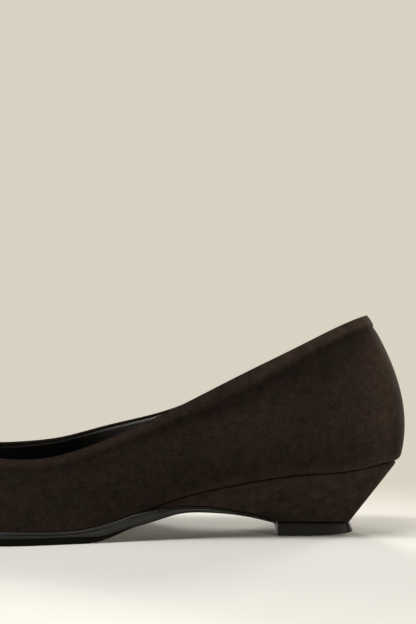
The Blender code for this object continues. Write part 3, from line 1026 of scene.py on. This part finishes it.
def tread_material():
    """Matt black tread, worn a little paler in patches."""
    made = Surface("tread_rubber", {"Specular IOR Level": 0.06})
    dark = (0.0025, 0.0025, 0.0017)
    light = (0.0060, 0.0060, 0.0043)
    wear = made.noise(size=7.0, detail=4.0, stretch=(1.6, 1.0, 1.0))
    made.feed("Base Color", made.ramp(wear, (0.35, dark), (0.7, light)))
    made.feed("Roughness", made.span(wear, low=0.75, high=0.95))
    made.feed("Normal", made.bump(made.noise(size=0.7, detail=3.0), strength=0.35, depth=0.08))
    return made.material


def rubber_material():
    """Bluish black tip rubber, matt and finely pitted."""
    made = Surface("tip_rubber_fine", {"Specular IOR Level": 0.25})
    dark = (0.0052, 0.0057, 0.0068)
    light = (0.0077, 0.0084, 0.0100)
    cloud = made.noise(size=6.0, detail=2.0)
    made.feed("Base Color", made.ramp(cloud, (0.35, dark), (0.65, light)))
    made.feed("Roughness", made.span(cloud, low=0.5, high=0.62))
    made.feed("Normal", made.bump(made.noise(size=0.5, detail=3.0), strength=0.3, depth=0.06))
    return made.material


def build_upper():
    """The suede and the lining of the upper, and the sock inside it."""
    last = last_surface()
    suede = suede_material("suede_painted_shade", UPPER_GRAIN, UPPER_MOTTLE)
    lining = lining_material()
    suede_shading = suede_painted_shade(last)
    lining_shading = lining_painted_shade(last)
    add_piece("suede_upper", suede_shell(last), suede, "upper", closed=True, painted_shading=suede_shading)
    add_piece("lining", lining_shell(last), lining, "upper", closed=True, painted_shading=lining_shading)
    add_piece("sock", sock_rings(), sock_material(), "insole")


def build_sole():
    """The three layers of the sole, from the bead down."""
    bead = layer_rings(BEAD_EDGE, bead_foot, bead_top)
    middle = layer_rings(SOLE_EDGE, tread_top, bead_foot)
    under = layer_rings(TREAD_EDGE, tread, tread_top)
    add_piece("bead", bead, bead_material(), "outsole")
    add_piece("sole", middle, sole_material(), "outsole")
    add_piece("tread", under, tread_material(), "outsole")


def build_heel():
    """The suede-covered wedge and the tip that it stands on."""
    wedge = heel_rings()
    suede = suede_material("heel_suede_nap", WEDGE_GRAIN, WEDGE_MOTTLE)
    even_nap = np.full((len(wedge), HEEL_SAMPLES), NAP_WEDGE)
    add_piece("wedge", wedge, suede, "heel", painted_shading=even_nap)
    add_piece("heel_tip", tip_rings(), rubber_material(), "top_piece")


def floor_material():
    """Plain off-white round the shoe, fading by place into the backdrop's own colour further out."""
    made = Surface(
        "studio_floor",
        {"Base Color": (*FLOOR, 1.0), "Roughness": 0.9, "Specular IOR Level": 0.05},
    )
    away = made.nodes.new("ShaderNodeVectorMath")
    away.operation = "DISTANCE"
    away.inputs[1].default_value = FLOOR_MIDDLE
    made.links.new(made.place, away.inputs[0])
    glow = made.nodes.new("ShaderNodeEmission")
    glow.inputs["Color"].default_value = (*BACKDROP, 1.0)
    blend = made.nodes.new("ShaderNodeMixShader")
    made.links.new(made.step(away.outputs["Value"], FLOOR_FADE), blend.inputs["Fac"])
    made.links.new(made.shader.outputs["BSDF"], blend.inputs[1])
    made.links.new(glow.outputs["Emission"], blend.inputs[2])
    made.links.new(blend.outputs["Shader"], made.nodes["Material Output"].inputs["Surface"])
    return made.material


def build_floor():
    """One wide flat floor."""
    shape = bmesh.new()
    bmesh.ops.create_grid(shape, x_segments=1, y_segments=1, size=FLOOR_HALF)
    mesh = bpy.data.meshes.new("floor")
    shape.to_mesh(mesh)
    shape.free()
    mesh.materials.append(floor_material())
    floor = bpy.data.objects.new("floor", mesh)
    bpy.context.scene.collection.objects.link(floor)


def build_lights():
    """Square soft lamps, each aimed at the shoe."""
    for lamp in LAMPS:
        light = bpy.data.lights.new(lamp.name, "AREA")
        light.shape = "SQUARE"
        light.size = lamp.size
        light.energy = lamp.power
        light.color = lamp.colour
        holder = bpy.data.objects.new(lamp.name, light)
        holder.location = lamp.place
        aim = Vector(LAMP_AIM) - Vector(lamp.place)
        holder.rotation_euler = aim.to_track_quat("-Z", "Y").to_euler()
        bpy.context.scene.collection.objects.link(holder)


def build_world():
    """A plain backdrop colour, which lights the shoe only a little."""
    world = bpy.data.worlds.new("studio")
    world.use_nodes = True
    nodes, links = world.node_tree.nodes, world.node_tree.links
    shown = nodes["Background"]
    shown.inputs["Color"].default_value = (*BACKDROP, 1.0)
    shown.inputs["Strength"].default_value = 1.0
    ambient = nodes.new("ShaderNodeBackground")
    ambient.inputs["Color"].default_value = (*BACKDROP, 1.0)
    ambient.inputs["Strength"].default_value = AMBIENT
    seen = nodes.new("ShaderNodeLightPath").outputs["Is Camera Ray"]
    blend = nodes.new("ShaderNodeMixShader")
    links.new(seen, blend.inputs["Fac"])
    links.new(ambient.outputs["Background"], blend.inputs[1])
    links.new(shown.outputs["Background"], blend.inputs[2])
    links.new(blend.outputs["Shader"], nodes["World Output"].inputs["Surface"])
    bpy.context.scene.world = world


def build_camera():
    """The photograph's view: level, square to the shoe's inner side, with the toe past the left edge."""
    lens = bpy.data.cameras.new("photo_view")
    lens.sensor_width = SENSOR
    lens.lens = SENSOR * FOCAL_PIXELS / PHOTO_LONG_SIDE
    lens.clip_start = VIEW_NEAREST * MM
    camera = bpy.data.objects.new("photo_view", lens)
    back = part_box("upper")[1].x
    camera.location = (back - VIEW_FROM_BACK * MM, -VIEW_DISTANCE * MM, VIEW_HEIGHT * MM)
    camera.rotation_euler = (math.pi / 2, 0, 0)
    bpy.context.scene.collection.objects.link(camera)
    bpy.context.scene.camera = camera


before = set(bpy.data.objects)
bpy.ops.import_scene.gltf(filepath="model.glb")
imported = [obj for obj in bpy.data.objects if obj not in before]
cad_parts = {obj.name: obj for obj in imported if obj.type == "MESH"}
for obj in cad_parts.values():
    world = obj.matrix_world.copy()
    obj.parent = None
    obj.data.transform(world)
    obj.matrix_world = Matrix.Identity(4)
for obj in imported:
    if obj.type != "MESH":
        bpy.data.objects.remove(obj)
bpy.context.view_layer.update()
build_camera()
build_upper()
build_sole()
build_heel()
build_floor()
build_lights()
build_world()
bpy.context.scene.view_settings.view_transform = "Standard"
